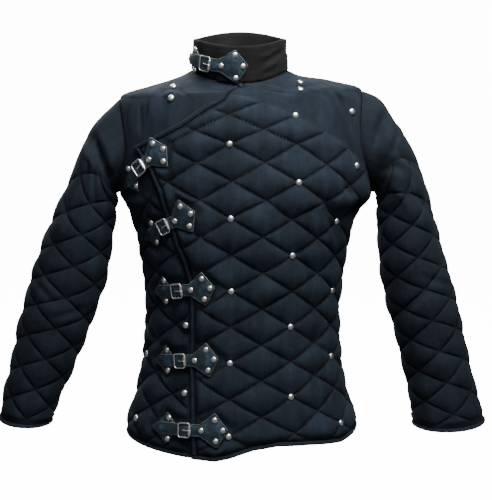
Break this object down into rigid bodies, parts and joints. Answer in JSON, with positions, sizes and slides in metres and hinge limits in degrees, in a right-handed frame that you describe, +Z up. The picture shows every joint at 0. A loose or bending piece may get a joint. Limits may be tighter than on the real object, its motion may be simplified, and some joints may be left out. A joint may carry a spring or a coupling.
{
  "type": "gambeson",
  "caption": "Short padded arming jacket with diamond quilting, long sleeves, standing collar and a lapped front closed by riveted leather straps with roller buckles.",
  "frame": {"origin": "midway between the two shoulder seams, where the wearer's shoulders carry the jacket", "axes": "+X towards the wearer's left, +Y towards the back, +Z up"},
  "size_m": [0.9376, 0.3232, 0.7809],
  "materials": {
    "cotton": "matte woven, blue-black",
    "collar_cotton": "matte woven, brown-black",
    "tape": "matte woven edge binding",
    "leather": "smooth black with a low sheen",
    "nickel": "polished nickel plate"
  },
  "bodies": {
    "root": {"back": "cotton", "binding_cuff_left": "tape", "binding_cuff_right": "tape", "binding_hem_back": "tape", "binding_hem_left": "tape", "binding_hem_right": "tape", "binding_lap_edge": "tape", "closure_1_buckle": "nickel", "closure_1_plate": "leather", "closure_1_strap": "leather", "closure_1_tongue": "nickel", "closure_2_buckle": "nickel", "closure_2_plate": "leather", "closure_2_strap": "leather", "closure_2_tongue": "nickel", "closure_3_buckle": "nickel", "closure_3_plate": "leather", "closure_3_strap": "leather", "closure_3_tongue": "nickel", "closure_4_buckle": "nickel", "closure_4_plate": "leather", "closure_4_strap": "leather", "closure_4_tongue": "nickel", "closure_5_buckle": "nickel", "closure_5_plate": "leather", "closure_5_strap": "leather", "closure_5_tongue": "nickel", "closure_collar_buckle": "nickel", "closure_collar_plate": "leather", "closure_collar_strap": "leather", "closure_collar_tongue": "nickel", "collar": "collar_cotton", "front_left": "cotton", "front_right": "cotton", "sleeve_left": "cotton", "sleeve_right": "cotton", "stud_01": "nickel", "stud_02": "nickel", "stud_03": "nickel", "stud_04": "nickel", "stud_05": "nickel", "stud_06": "nickel", "stud_07": "nickel", "stud_08": "nickel", "stud_09": "nickel", "stud_10": "nickel", "stud_11": "nickel", "stud_12": "nickel", "stud_13": "nickel", "stud_14": "nickel", "stud_15": "nickel", "stud_16": "nickel", "stud_17": "nickel", "stud_18": "nickel", "stud_19": "nickel", "stud_20": "nickel", "stud_21": "nickel", "stud_22": "nickel", "stud_23": "nickel", "stud_24": "nickel"}
  },
  "joints": []
}
